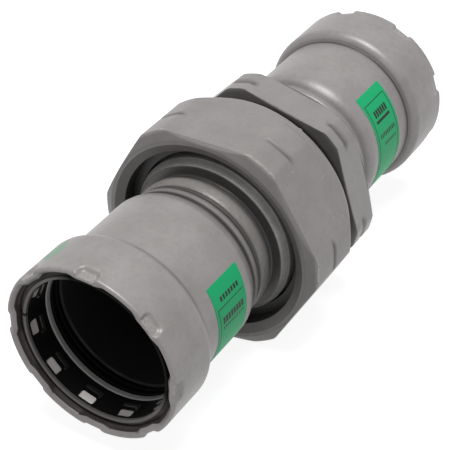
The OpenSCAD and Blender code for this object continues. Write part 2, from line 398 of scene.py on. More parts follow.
# The brackets are the cage's black polyamide painted lighter, as a painted sheen.
BRACKET_PLASTIC = MouldedPlastic("polyamide_painted_sheen", "black_moulding", "3a3836", 0.3)
PALE_PLASTIC = MouldedPlastic("pale_polyamide", "pale_separator", "c6c5c3", 0.4)
SEAL_EPDM = MouldedRubber("black_epdm", "seal_rubber", "0b0b0b", 0.6)
GASKET_EPDM = MouldedRubber("gasket_sheet", "gasket_fibre", "161616", 0.7)
LABEL_FILM = PrintedFilm("green_film", "green_label", "12c07b", 0.5)
LABEL_INK = PrintedFilm("black_ink", "green_label", "12201a", 0.5)
MARK_PAINT = PaintDab("green_paint", "green_paint_mark", "86a88e", 0.5)


# ------------------------------------------------------------- geometry nodes


class ShapeTree:
    """A Geometry Nodes tree that is built once, run on pieces and baked into their meshes."""

    NAME = ""
    INPUTS: dict[str, str] = {}

    def __init__(self) -> None:
        """Builds the tree and keeps the identifiers of its inputs."""
        self.tree = bpy.data.node_groups.new(self.NAME, "GeometryNodeTree")
        face = self.tree.interface
        self.ids = {
            name: face.new_socket(name, in_out="INPUT", socket_type=f"NodeSocket{kind}").identifier
            for name, kind in {"Geometry": "Geometry", **self.INPUTS, "Material": "Material"}.items()
        }
        face.new_socket("Geometry", in_out="OUTPUT", socket_type="NodeSocketGeometry")
        given = add(self.tree, "NodeGroupInput", out=-1).outputs
        feeds = {"Geometry": self.shape(given), "Material": given["Material"]}
        add(self.tree, "NodeGroupOutput", {0: add(self.tree, "GeometryNodeSetMaterial", feeds)})

    def shape(self, given: Mapping[str, Socket]) -> Socket:
        """Adds the nodes that shape the given geometry and returns the result."""
        raise NotImplementedError

    def run(self, piece: Piece, finish: Finish, values: dict[str, float]) -> None:
        """Runs the tree on a piece and keeps the result as its plain mesh.

        Args:
            piece: the piece.
            finish: its finish.
            values: a value for each of the tree's own inputs.
        """
        modifier = piece.modifiers.new("shape", "NODES")
        modifier.node_group = self.tree
        for name, value in {**values, "Material": finish.material()}.items():
            modifier[self.ids[name]] = value
        shown = piece.evaluated_get(bpy.context.evaluated_depsgraph_get())
        mesh = bpy.data.meshes.new_from_object(shown)
        piece.modifiers.remove(modifier)
        old, piece.data = piece.data, mesh
        bpy.data.meshes.remove(old)
        mesh.name = piece.name


class TurnedCopies(ShapeTree):
    """Repeats a piece round and along the pipe axis."""

    NAME = "turned_copies"
    INPUTS = {
        "Count": "Int",
        "First angle": "Float",
        "Step angle": "Float",
        "Step along": "Float",
        "Merge distance": "Float",
    }

    def shape(self, given: Mapping[str, Socket]) -> Socket:
        """Puts turned copies on points along the axis and merges them where they meet."""
        tree = self.tree
        index = add(tree, "GeometryNodeInputIndex")
        turn = maths(tree, "MULTIPLY_ADD", index, given["Step angle"], given["First angle"])
        along = maths(tree, "MULTIPLY", index, given["Step along"])
        place, angles = (add(tree, "ShaderNodeCombineXYZ", {"X": value}) for value in (along, turn))
        points = add(tree, "GeometryNodePoints", {"Count": given["Count"], "Position": place})
        rotation = add(tree, "FunctionNodeEulerToRotation", {0: angles})
        feeds = {"Points": points, "Instance": given["Geometry"], "Rotation": rotation}
        copies = add(tree, "GeometryNodeInstanceOnPoints", feeds)
        solid = add(tree, "GeometryNodeRealizeInstances", {0: copies})
        feeds = {"Geometry": solid, "Distance": given["Merge distance"]}
        return add(tree, "GeometryNodeMergeByDistance", feeds)

    def apply(
        self,
        piece: Piece,
        finish: Finish,
        count: int = 8,
        first: float = 0.0,
        step: float | None = None,
        along: float = 0.0,
    ) -> None:
        """Replaces a piece by its copies.

        Args:
            piece: the piece to repeat.
            finish: the finish of every copy.
            count: how many copies.
            first: angle of the first copy in degrees.
            step: angle between copies in degrees; a full round if left out.
            along: shift of each copy along the axis in millimetres.
        """
        values = {
            "Count": count,
            "First angle": math.radians(first),
            "Step angle": math.radians(360.0 / count if step is None else step),
            "Step along": along * MM,
            "Merge distance": 0.002 * MM,
        }
        self.run(piece, finish, values)

    def complete(
        self,
        piece: Piece,
        body: str,
        finish: Finish,
        *nodes: str,
        sharp: float = 32.0,
        inside: Sequence[tuple[Finish, Inside]] = (),
        **repeat: float,
    ) -> None:
        """Repeats a piece, smooths the whole and dresses it.

        Args:
            piece: the piece to repeat.
            body: the body that it moves with.
            finish: its finish.
            *nodes: CAD nodes that it stands for.
            sharp: edges bent by more than this many degrees stay sharp.
            inside: further finishes, each with the rule for the faces that get it.
            **repeat: count, first, step and along, as for apply.
        """
        self.apply(piece, finish, **repeat)
        settle(piece, sharp)
        for other, rule in inside:
            part_by_radius(piece, other, rule)
        dress(piece, body, finish, *nodes)


class Ripple(ShapeTree):
    """Roughens a turned bead by seeded noise."""

    NAME = "weld_ripple"
    INPUTS = {"Height": "Float", "Grain": "Float", "Seed": "Float"}

    def shape(self, given: Mapping[str, Socket]) -> Socket:
        """Shifts points along their normal by the noise, scaled by the bead's attribute "give"."""
        tree = self.tree
        feeds = {"W": given["Seed"], "Scale": maths(tree, "DIVIDE", 1.0, given["Grain"]), "Detail": 3.0}
        high = add(tree, "ShaderNodeTexNoise", feeds, noise_dimensions="4D")
        high = maths(tree, "SUBTRACT", high, 1.0)
        high = maths(tree, "MULTIPLY", high, given["Height"])
        give = add(tree, "GeometryNodeInputNamedAttribute", {"Name": "give"}, data_type="FLOAT")
        high = maths(tree, "MULTIPLY", high, give)
        feeds = {0: add(tree, "GeometryNodeInputNormal"), "Scale": high}
        shift = add(tree, "ShaderNodeVectorMath", feeds, operation="SCALE")
        return add(tree, "GeometryNodeSetPosition", {"Geometry": given["Geometry"], "Offset": shift})

    def apply(self, piece: Piece, finish: Finish, height: float, grain: float, seed: float) -> None:
        """Roughens a piece.

        Args:
            piece: a bead whose vertices carry the attribute "give".
            finish: its finish.
            height: depth of the ripples in millimetres.
            grain: size of the ripples in millimetres.
            seed: where in the noise this bead starts.
        """
        self.run(piece, finish, {"Height": height * MM, "Grain": grain * MM, "Seed": seed})


# -------------------------------------------------------------- mesh building


@dataclass(frozen=True)
class Station:
    """One row of a form round the axis: its place, its radius by angle, its scuffing and painted light by
    angle (above 0 scuffed metal, partly a painted highlight; below 0 painted shade), and its give.
    """

    x: float
    radius: Rule
    wear_and_painted_light: Rule = np.zeros_like
    give: float = 0.0


def plain(x: float, radius: float, painted_shade: float = 0.0, give: float = 0.0) -> Station:
    """Returns a station that is round, with painted shade from 0 to 1."""
    return Station(x, lambda turn: np.full_like(turn, radius), lambda turn: np.full_like(turn, -painted_shade), give)


def arc(
    cx: float, cr: float, radius: float, start: float, end: float, steps: int = 8
) -> list[tuple[float, float]]:
    """Returns points of a round stretch of an outline.

    Args:
        cx: centre along the axis.
        cr: centre's distance from the axis.
        radius: radius of the stretch.
        start: first angle in degrees; 0 points along the axis and 90 away from it.
        end: last angle in degrees.
        steps: number of segments.

    Returns:
        (x, r) points.
    """
    angles = np.radians(np.linspace(start, end, steps + 1))
    return [(cx + radius * math.cos(a), cr + radius * math.sin(a)) for a in angles]


def fine(outline: Outline, longest: float) -> list[tuple[float, float]]:
    """Splits an outline's long stretches so that none is longer than a length."""
    result = [outline[0]]
    for (x0, r0), (x1, r1) in zip(outline, outline[1:]):
        parts = max(1, math.ceil(math.hypot(x1 - x0, r1 - r0) / longest))
        result += [(x0 + (x1 - x0) * k / parts, r0 + (r1 - r0) * k / parts) for k in range(1, parts + 1)]
    return result


def smooth_least(first: np.ndarray, second: np.ndarray, edge: float) -> np.ndarray:
    """Returns the smaller of two radii with the edge between them rounded."""
    gap = np.clip((second - first) / edge, -40, 40)
    return first - edge * np.log1p(np.exp(-gap))


def rounded_rectangle(length: float, width: float, corner: float, steps: int) -> list[tuple[float, float]]:
    """Returns a rounded rectangle about the origin, the same number of points on each corner.

    Args:
        length: size along the first axis.
        width: size along the second axis.
        corner: radius of the corners.
        steps: segments of each corner.

    Returns:
        Points in order round the outline.
    """
    points = []
    for quarter, (side_u, side_v) in enumerate(((1, 1), (-1, 1), (-1, -1), (1, -1))):
        cu, cv = side_u * (length / 2 - corner), side_v * (width / 2 - corner)
        points += arc(cu, cv, corner, 90 * quarter, 90 * quarter + 90, steps)
    return points


def rectangle_points(low: float, high: float, width: float, hole: Outline) -> list[tuple[float, float]]:
    """Returns points on a rectangle that face the points of a hole inside it.

    Args:
        low: lower side along the first axis.
        high: upper side along the first axis.
        width: size along the second axis, about the origin.
        hole: outline of the hole, the same number of points on each of its four corners.

    Returns:
        As many points as the hole has, none of them at the middle of a side.
    """
    half, most = width / 2, 0.96
    corners = np.array([(high, half), (low, half), (low, -half), (high, -half)])
    points = []
    for corner, before, after in zip(corners, np.roll(corners, 1, 0), np.roll(corners, -1, 0)):
        for share in np.linspace(-1, 1, len(hole) // 4):
            middle = (corner + (before if share < 0 else after)) / 2
            points.append(tuple(corner + (middle - corner) * min(abs(share), most)))
    return points


def skin(count: int, rings: int, start: int = 0) -> Faces:
    """Returns the faces between closed rings of points that follow each other.

    Args:
        count: points in each ring.
        rings: number of rings.
        start: index of the first point.
    """
    return [
        (base + k, base + (k + 1) % count, base + count + (k + 1) % count, base + count + k)
        for base in range(start, start + (rings - 1) * count, count)
        for k in range(count)
    ]


def closed_skin(count: int, rings: int, start: int = 0) -> Faces:
    """Returns the faces between rings of points, and a face over the first and the last ring."""
    last = start + (rings - 1) * count
    return skin(count, rings, start) + [tuple(range(end, end + count)) for end in (start, last)]


def around(x: float, radius: float, turn: float) -> tuple[float, float, float]:
    """Returns the point at a place along the axis, a radius and an angle in radians."""
    return (x, radius * math.cos(turn), radius * math.sin(turn))


def shaped(name: str, points: Sequence, faces: Sequence) -> Piece:
    """Makes a piece of points in millimetres, with its origin at the frame's."""
    mesh = bpy.data.meshes.new(name)
    mesh.from_pydata([(x * MM, y * MM, z * MM) for x, y, z in points], [], faces)
    piece = bpy.data.objects.new(mesh.name, mesh)
    bpy.context.scene.collection.objects.link(piece)
    return piece


def bent(name: str, points: Sequence, faces: Sequence, true_r: float | None = None) -> Piece:
    """Makes a piece whose second coordinate runs round the axis as an arc length.

    Args:
        name: the object's name.
        points: (place along, arc length, radius) in millimetres.
        faces: faces of the mesh.
        true_r: radius at which the arc length is true; each point's own if left out.

    Returns:
        The bent piece, with its middle at angle 0.
    """
    return shaped(name, [around(x, r, length / (true_r or r)) for x, length, r in points], faces)


def sector(name: str, stations: Sequence[Station], angles: np.ndarray) -> Piece:
    """Builds one sector of a ring from its stations.

    Args:
        name: the object's name.
        stations: rows of the form, in order round its section.
        angles: angles of the columns in degrees.

    Returns:
        The sector, open at its first and last angle.
    """
    turn = np.radians(angles)
    radii = np.array([s.radius(angles) for s in stations])
    places = np.array([np.full_like(turn, s.x) for s in stations])
    points = np.stack([places, radii * np.cos(turn), radii * np.sin(turn)], axis=-1)
    rows, columns = radii.shape
    faces = [
        (i * columns + j, i * columns + j + 1, (i + 1) % rows * columns + j + 1, (i + 1) % rows * columns + j)
        for i in range(rows)
        for j in range(columns - 1)
    ]
    piece = shaped(name, points.reshape(-1, 3).tolist(), faces)
    # Above 0 the attribute is scuffed metal and painted highlight, below 0 painted shade.
    wear_and_painted_light = np.array([s.wear_and_painted_light(angles) for s in stations]).ravel()
    give = np.repeat([s.give for s in stations], columns)
    for label, values in (("wear_and_painted_light", wear_and_painted_light), ("give", give)):
        kept = piece.data.attributes.new(label, "FLOAT", "POINT")
        kept.data.foreach_set("value", values.astype(np.float32))
    return piece


@contextmanager
def reshaped(piece: Piece) -> Iterator[bmesh.types.BMesh]:
    """Opens a piece's mesh for changes and writes it back."""
    shape = bmesh.new()
    shape.from_mesh(piece.data)
    yield shape
    shape.to_mesh(piece.data)
    shape.free()


def close_ends(piece: Piece) -> None:
    """Fills the open ends of a piece."""
    with reshaped(piece) as shape:
        bmesh.ops.holes_fill(shape, edges=[edge for edge in shape.edges if edge.is_boundary])


def settle(piece: Piece, sharp: float = 32.0) -> None:
    """Turns a closed piece's faces outwards and smooths it, but for its sharp edges.

    Args:
        piece: the piece.
        sharp: edges bent by more than this many degrees stay sharp.
    """
    with reshaped(piece) as shape:
        bmesh.ops.remove_doubles(shape, verts=shape.verts, dist=0.001 * MM)
        bmesh.ops.recalc_face_normals(shape, faces=shape.faces)
    piece.data.polygons.foreach_set("use_smooth", [True] * len(piece.data.polygons))
    piece.data.set_sharp_from_angle(angle=math.radians(sharp))


def part_by_radius(piece: Piece, finish: Finish, inside: Inside) -> None:
    """Gives a further finish to the faces that lie inside.

    Args:
        piece: the piece.
        finish: the further finish.
        inside: tells from a face's place and radius, in millimetres, whether it gets that finish.
    """
    piece.data.materials.append(finish.material())
    index = len(piece.data.materials) - 1
    for face in piece.data.polygons:
        x, y, z = face.center / MM
        if inside(x, math.hypot(y, z)):
            face.material_index = index


def dress(piece: Piece, body: str, finish: Finish, *nodes: str) -> None:
    """Rides a piece on its body and what it stands for, and logs it.

    Args:
        piece: the finished piece.
        body: the body that it moves with.
        finish: its finish.
        *nodes: CAD nodes that it stands for.
    """
    if not piece.data.materials:
        piece.data.materials.append(finish.material())
    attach(piece, body)
    if nodes:
        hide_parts(*nodes)
    LOG.info("%s: %d faces on %s", piece.name, len(piece.data.polygons), body)


# --------------------------------------------------------------- press socket


@dataclass(frozen=True)
class PrintRow:
    """A row of plain bars on a label.

    Attributes:
        angle: where the row lies, in degrees from the label's start.
        height: length of a bar, in degrees.
        low: where the first bar starts along the tube, from the label's edge.
        size: width of a bar.
        count: number of bars.
        pitch: distance from bar to bar.
    """

    angle: float
    height: float
    low: float
    size: float
    count: int = 1
    pitch: float = 0.0


FRONT_PRINT = (
    PrintRow(10.0, 3.6, 3.2, 0.85, 7, 1.3),
    PrintRow(24.5, 5.0, 2.4, 0.95, 8, 1.3),
    PrintRow(31.5, 2.0, 2.4, 0.5, 11, 0.95),
)
REAR_PRINT = (
    PrintRow(15.0, 5.5, 3.4, 0.95, 6, 1.3),
    PrintRow(22.5, 2.2, 3.0, 8.4),
    PrintRow(33.0, 3.4, 2.6, 0.6, 9, 1.05),
    PrintRow(41.0, 2.4, 2.6, 0.45, 8, 0.95),
)


@dataclass
class PressSocket:
    """One press end: formed shell, grip ring, cage, separator, seal and label."""

    end: End
    copies: TurnedCopies
    first_crimp: float
    first_tooth: float
    label_start: float
    pipe_r: float = 21.6
    tube_r: float = 24.2
    pocket_r: float = 24.6
    rim_l: float = 2.0
    rim_round: float = 0.95
    collar_l: float = 18.7
    shoulder_r: float = 3.2
    crease_r: float = 0.3
    tube_end: float = 45.5
    end_round: float = 6.2
    bead_r: float = 22.6
    stub_r: float = 21.8
    stub_end: float = 50.6
    stop_l: float = 1.2
    water_r: float = 18.8
    crimps: int = 8
    crimp_depth: float = 1.1
    crimp_face: tuple[float, float] = (5.0, 2.8)
    crimp_corner: float = 0.9
    crimp_taper: float = 1.17
    crimp_edge: float = 0.5
    bulge: tuple[float, float] = (5.5, 13.0)
    teeth: int = 11
    tooth_x: float = 5.1
    tooth_w: float = 4.8
    tooth_l: float = 2.5
    tooth_corner: float = 0.55
    window_gap: float = 0.25
    window_corner: float = 0.7
    cage: tuple[float, float] = (3.0, 10.7)
    cage_r: tuple[float, float] = (22.1, 23.3)
    grip: tuple[float, float] = (2.1, 9.4)
    grip_lip: tuple[float, float] = (22.2, 23.2)
    split_gap: float = 1.2
    separator_end: float = 12.3
    pocket_end: float = 17.0
    label_x: float = 25.1
    label_l: float = 14.2
    label_wrap: float = 95.0
    film: float = 0.1
    ink: float = 0.02
    frame_at: float = 17.0
    print_rows: tuple[PrintRow, ...] = FRONT_PRINT
    # Share of the painted shade that lies on the neck behind the tube's end.
    neck_painted_shade: float = 1.0
    mouth: float = field(init=False)
    collar_r: float = field(init=False)

    def __post_init__(self) -> None:
        """Reads the mouth and the collar from the frame."""
        low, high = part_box(f"{self.end.prefix}_socket")
        self.mouth = (low.x if self.end is End.FRONT else high.x) / MM
        self.collar_r = (high.z - low.z) / 2 / MM

    def at(self, depth: float) -> float:
        """Returns the place on the axis at a depth from the mouth."""
        return self.mouth + self.end.inward * depth

    def depth(self, x: float) -> float:
        """Returns the depth from the mouth of a place on the axis."""
        return (x - self.mouth) * self.end.inward

    def build(self) -> None:
        """Builds every piece of this end."""
        self.shell()
        self.grip_band()
        self.bent_pieces()
        self.rings()
        self.label()

    def off_crimp(self, angle: np.ndarray, depth: float) -> np.ndarray:
        """Returns how far a place lies outside the face of the crimping tool.

        Args:
            angle: degrees from the middle of a crimp.
            depth: place behind the mouth.

        Returns:
            The distance in millimetres from the face's rounded rectangle, 0 on it.
        """
        (width, length), corner = self.crimp_face, self.crimp_corner
        across = np.abs(self.collar_r * np.tan(np.radians(angle))) - width / 2 + corner
        along = depth - length + corner
        outside = np.hypot(np.maximum(across, 0), max(along, 0.0))
        return np.maximum(outside + np.minimum(np.maximum(across, along), 0) - corner, 0)

    def pressed(self, angle: np.ndarray, depth: float) -> np.ndarray:
        """Returns the radius down to which the crimping tool presses the rim."""
        edge = self.crimp_edge
        short = edge - min(depth, edge)
        face = self.collar_r - self.crimp_depth - edge + math.sqrt(edge**2 - short**2)
        return (face + self.crimp_taper * self.off_crimp(angle, depth)) / np.cos(np.radians(angle))

    def drawn_in(self, angle: np.ndarray) -> np.ndarray:
        """Returns how far the sheet bulges inwards: 1 at a crimp and 0 between two."""
        top, foot = self.bulge
        share = np.clip((foot - np.abs(angle)) / (foot - top), 0, 1)
        return share**2 * (3 - 2 * share)

    def crimp_wear_and_highlight(self, angle: np.ndarray, depth: float) -> np.ndarray:
        """Returns the scuffing on the face of each crimp, and a painted highlight along its brow."""
        brow = self.crimp_depth / self.crimp_taper
        off = self.off_crimp(angle, depth)
        return 0.16 * np.exp(-(((off - brow) / 0.4) ** 2)) + 0.24 * np.exp(-((off / 0.3) ** 2))

    def painted_shade(self, depth: float) -> float:
        """Returns the painted shade on the outer side: most in the creases behind the collar and the tube."""
        start, end, weld, neck = self.collar_l, self.tube_end, self.stub_end, self.neck_painted_shade
        places = [start - 0.5, start, start + 0.35, start + 0.9, start + 1.6, end - 1.6, end - 0.4, end + 0.3]
        places += [end + 1.0, end + 1.7, end + 2.9, end + 3.5, weld]
        amount = [0, 0.4, 1.0, 0.2, 0] + [neck * x for x in (0, 0.7, 1.0, 0.9, 0.1, 0.1, 0.9, 0.7)]
        return float(np.interp(depth, places, amount))

    def rim_row(self, depth: float, radius: float) -> Station:
        """Returns a row of the rim's outer side, pressed in at each crimp."""
        return Station(
            self.at(depth),
            lambda angle: smooth_least(np.full_like(angle, radius), self.pressed(angle, depth), 0.2),
            lambda angle: self.crimp_wear_and_highlight(angle, depth),
        )

    def lip_row(self, depth: float, opened: float, drawn: float) -> Station:
        """Returns a row of the lip's inner side.

        Args:
            depth: place behind the mouth.
            opened: radius between two crimps, over the pocket's.
            drawn: radius at a crimp, over the pocket's.
        """
        return Station(
            self.at(depth), lambda angle: self.pocket_r + opened + (drawn - opened) * self.drawn_in(angle)
        )

    def outer_rows(self) -> list[Station]:
        """Returns the outer side: rim, collar, crease, tube, rounded end and stub."""
        edge, shoulder, crease, rounding = self.rim_round, self.shoulder_r, self.crease_r, self.end_round
        start, end = self.collar_l, self.tube_end
        rim = arc(edge, self.collar_r - edge, edge, 180, 90)
        rim.append((self.crimp_face[1] + 2.2, self.collar_r))
        tube = (
            arc(start - shoulder, self.collar_r - shoulder, shoulder, 90, 14, 14)
            + arc(start + crease + 0.05, self.tube_r + crease, crease, 195, 270, 4)
            + arc(end - 4.2, self.tube_r - rounding, rounding, 90, 47.5, 14)
            + arc(end + 0.5, self.bead_r + 0.2, 0.25, 225, 255, 2)
        )
        bead = [(1.1, 0.0), (1.9, 0.05), (2.6, 0.03), (3.1, -0.1), (3.45, -0.4), (3.8, -0.8)]
        tube += [(end + x, self.bead_r + r) for x, r in bead]
        tube += [(self.stub_end - 0.5, self.stub_r - 0.1), (self.stub_end, self.stub_r)]
        pressed = [self.rim_row(x, r) for x, r in fine(rim, 0.16)]
        return pressed + [plain(self.at(x), r, self.painted_shade(x)) for x, r in fine(tube, 0.8)]

    def inner_rows(self) -> list[Station]:
        """Returns the inner side: waterway, pipe stop, bore, pocket and lip."""
        stop, pocket = self.tube_end - self.stop_l, self.pocket_end
        inner = [
            (self.stub_end, self.water_r),
            (stop, self.water_r),
            (stop, self.pipe_r),
            (pocket + 0.5, self.pipe_r),
            (pocket, self.pipe_r + 0.5),
            (pocket, self.pocket_r),
            (self.rim_l + 1.3, self.pocket_r),
        ]
        lip = [(3.15, 0.0, 0.0), (2.6, 0.0, -0.38), (2.4, 0.14, -0.45), (2.0, 0.4, -0.45)]
        lip += [(1.45, 0.5, -0.45), (1.05, 0.59, -0.45), (0.85, 0.69, -0.36), (0.5, 1.0, -0.01)]
        lip += [(0.16, 1.31, 0.33), (0.03, 1.42, 0.48)]
        return [plain(self.at(x), r) for x, r in fine(inner, 2.5)] + [self.lip_row(*row) for row in lip]

    def shell(self) -> None:
        """Builds the formed steel shell with its crimped rim."""
        half, foot, face = 180.0 / self.crimps, self.bulge[1], 4.6
        runs = (np.linspace(0, face, 6)[:-1], np.linspace(face, foot, 25)[:-1], np.linspace(foot, half, 10))
        side = np.concatenate(runs)
        angles = np.concatenate([-side[:0:-1], side])
        piece = sector(f"{self.end.prefix}_socket_shell", self.outer_rows() + self.inner_rows(), angles)
        self.copies.complete(
            piece,
            self.end.body,
            TUBE_STEEL,
            f"{self.end.prefix}_socket",
            inside=((BORE_STEEL, self.in_bore), (POCKET_STEEL, self.in_pocket)),
            count=self.crimps,
            first=self.first_crimp,
        )

    def in_bore(self, x: float, r: float) -> bool:
        """Tells whether a face lies in the bore or the waterway."""
        return r < (self.pipe_r + 0.6 if self.depth(x) < self.tube_end - 1.1 else self.water_r + 0.2)

    def in_pocket(self, x: float, r: float) -> bool:
        """Tells whether a face lies in the pocket of the rings."""
        return self.pipe_r + 0.5 < r < self.pocket_r + 0.62 and 0.95 < self.depth(x) < self.pocket_end + 0.1

    def grip_band(self) -> None:
        """Builds the split stainless band."""
        low, high = self.grip
        lip_in, lip_out = self.grip_lip
        inner, outer, edge = self.cage_r[1], self.pocket_r - 0.02, 0.15
        section = [(low + edge, lip_in), (low, lip_in + edge), (low, lip_out - edge), (low + edge, lip_out)]
        section += [(low + 0.5, inner + 0.02), (low + 1.3, outer), (high, outer), (high, inner)]
        section += [(self.cage[0], inner), (self.cage[0], lip_in)]
        stations = [replace(plain(self.at(x), r), wear_and_painted_light=self.rim_shadow) for x, r in section]
        half_gap = math.degrees(self.split_gap / 2 / self.pocket_r)
        split = self.first_tooth + 180.0 / self.teeth
        angles = np.linspace(split + half_gap, split + 360 - half_gap, 241)
        band = sector(f"{self.end.prefix}_grip_band", stations, angles)
        close_ends(band)
        settle(band, 25)
        dress(band, self.end.body, BAND_STEEL, f"{self.end.prefix}_grip_ring")

    @staticmethod
    def rim_shadow(angle: np.ndarray) -> np.ndarray:
        """Returns the painted shadow on the band, under the rim's edge from its top down one side."""
        middle, reach, fade = 135.0, 78.0, 20.0
        off = np.abs((angle - middle + 180.0) % 360.0 - 180.0)
        return -np.clip((reach - off) / fade, 0, 1)

    def bent_pieces(self) -> None:
        """Builds the teeth, the windowed cage and its raised brackets, one for each window."""
        repeat = {"count": self.teeth, "first": self.first_tooth}
        for label, form, finish, node in (
            ("grip_teeth", self.tooth, GRIP_STEEL, ()),
            ("cage", self.cage_bay, CAGE_PLASTIC, (f"{self.end.prefix}_grip_cage",)),
            ("cage_brackets", self.bracket, BRACKET_PLASTIC, ()),
        ):
            points, faces, true_r = form()
            points = [(self.at(self.tooth_x + u), v, r) for u, v, r in points]
            piece = bent(f"{self.end.prefix}_{label}", points, faces, true_r)
            self.copies.complete(piece, self.end.body, finish, *node, **repeat)

    def tooth(self) -> tuple[list, Faces, float | None]:
        """Returns points, faces and true radius of a tooth, a rounded tab bent in towards the stop."""
        inset, edge = 0.24, 0.12
        root, front, back = self.cage_r[1] + 0.3, self.cage_r[1] - 0.25, self.cage_r[0] + 0.15
        outline = rounded_rectangle(self.tooth_l, self.tooth_w, self.tooth_corner, 6)
        crown = rounded_rectangle(self.tooth_l - inset, self.tooth_w - inset, self.tooth_corner - 0.1, 6)
        points = [(u, v, root) for u, v in outline]
        for shape, drop in ((outline, edge), (crown, 0.0)):
            points += [(u, v, front + (back - front) * (u / self.tooth_l + 0.5) + drop) for u, v in shape]
        return points, closed_skin(len(outline), 3), None

    def cage_bay(self) -> tuple[list, Faces, float | None]:
        """Returns points, faces and true radius of one bay of the cage, open at its two sides."""
        low, high = self.cage
        inner, outer = self.cage_r
        room = 2 * self.window_gap
        hole = rounded_rectangle(self.tooth_l + room, self.tooth_w + room, self.window_corner, 8)
        width = 2 * math.pi / self.teeth * inner
        frame = rectangle_points(low - self.tooth_x, high - self.tooth_x, width, hole)
        rings, count = 6, len(hole)
        points = [
            (hu + (fu - hu) * share, hv + (fv - hv) * share, radius)
            for radius in (inner, outer)
            for share in np.linspace(0, 1, rings)
            for (hu, hv), (fu, fv) in zip(hole, frame)
        ]
        shelf, rim = rings * count, (rings - 1) * count
        faces = skin(count, rings) + skin(count, rings, shelf)
        for k in range(count):
            after = (k + 1) % count
            faces.append((k, after, shelf + after, shelf + k))
            ends = (frame[k][1], frame[after][1])
            if not (abs(ends[0] - ends[1]) < 1e-6 and abs(abs(ends[0]) - width / 2) < 1e-6):
                faces.append((rim + k, rim + after, shelf + rim + after, shelf + rim + k))
        return points, faces, inner

    def bracket(self) -> tuple[list, Faces, float | None]:
        """Returns points, faces and true radius of the raised L behind a window."""
        bar, rise, inset, half = 1.2, 0.28, 0.12, self.tooth_w / 2
        start = self.tooth_l / 2 + 1.2
        foot = self.cage_r[0]
        points, faces = [], []
        long_bar = (start, start + bar, -half, half)
        short_bar = (start - 0.8, start + bar, -half - 0.8, -half + 0.1)
        for u0, u1, v0, v1 in (long_bar, short_bar):
            faces += closed_skin(4, 2, len(points))
            for radius, cut in ((foot + 0.1, 0.0), (foot - rise, inset)):
                a, b, c, d = u0 + cut, u1 - cut, v0 + cut, v1 - cut
                points += [(u, v, radius) for u, v in ((a, c), (b, c), (b, d), (a, d))]
        return points, faces, foot

    def rings(self) -> None:
        """Builds the pale separator ring and the profiled seal."""
        back, front = self.separator_end, self.cage[1]
        rounding, inner, outer = 0.6, self.pipe_r + 0.2, self.pocket_r - 0.1
        separator = (
            [(front, outer), (front, inner + 0.7)]
            + arc(front + rounding, inner + rounding, rounding, 180, 270, 5)
            + [(back, inner), (back, outer)]
        )
        bead = 0.5
        seat, span = self.pipe_r + 0.15 + bead, self.pocket_end - back
        seal = [(back, outer), (back, seat)]
        for share in (0.28, 0.72):
            seal += arc(back + share * span, seat, bead, 190, 350)
        seal += [(self.pocket_end, seat), (self.pocket_end, outer)]
        for label, section, finish, node in (
            ("separator", separator, PALE_PLASTIC, "separator_ring"),
            ("seal_ring", seal, SEAL_EPDM, "seal"),
        ):
            rows = [plain(self.at(x), r) for x, r in section]
            piece = sector(f"{self.end.prefix}_{label}", rows, np.linspace(0, 45, 25))
            self.copies.complete(piece, self.end.body, finish, f"{self.end.prefix}_{node}")

    def film_patch(self, label: str, spans: Sequence[Span], lift: float) -> Piece:
        """Builds flat patches that lie on the tube.

        Args:
            label: end of the object's name.
            spans: (start, end, low, high) of each patch, in degrees and in millimetres along the tube.
            lift: height above the tube.

        Returns:
            The patches as one piece of thin closed slabs.
        """
        sunk, longest = 0.02, 1.5
        points, faces = [], []
        for start, end, low, high in spans:
            columns = max(2, math.ceil((end - start) / longest) + 1)
            faces += closed_skin(4, columns, len(points))
            under, over = self.tube_r - sunk, self.tube_r + lift
            section = ((low, under), (high, under), (high, over), (low, over))
            for turn in np.radians(np.linspace(start, end, columns)):
                points += [around(self.at(self.label_x + depth), radius, turn) for depth, radius in section]
        return shaped(f"{self.end.prefix}_label_{label}", points, faces)

    def label(self) -> None:
        """Builds the green film and its generic print: ruled lines and rows of plain bars."""
        start, wrap, width, body = self.label_start, self.label_wrap, self.label_l, self.end.body
        film = self.film_patch("film", [(start, start + wrap, 0, width)], self.film)
        settle(film, 20)
        dress(film, body, LABEL_FILM, f"{self.end.prefix}_label")
        line, edge, printed = 0.25, 1.0, self.film + self.ink
        top, bottom = start + self.frame_at, start + wrap - 4
        ruled = top + math.degrees(line / self.tube_r)
        spans = [(top, bottom, edge, edge + line), (top, ruled, edge, width - edge)]
        if self.end is End.REAR:
            spans.append((top, bottom, width - edge - line, width - edge))
        frame = self.film_patch("frame", spans, printed)
        settle(frame, 20)
        dress(frame, body, LABEL_INK)
        for number, row in enumerate(self.print_rows):
            bar = self.film_patch(f"row_{number}", [(0, row.height, row.low, row.low + row.size)], printed)
            along = row.pitch * self.end.inward
            repeat = {"count": row.count, "first": start + row.angle, "step": 0.0, "along": along}
            self.copies.complete(bar, body, LABEL_INK, sharp=20, **repeat)


# -------------------------------------------------------------------- union


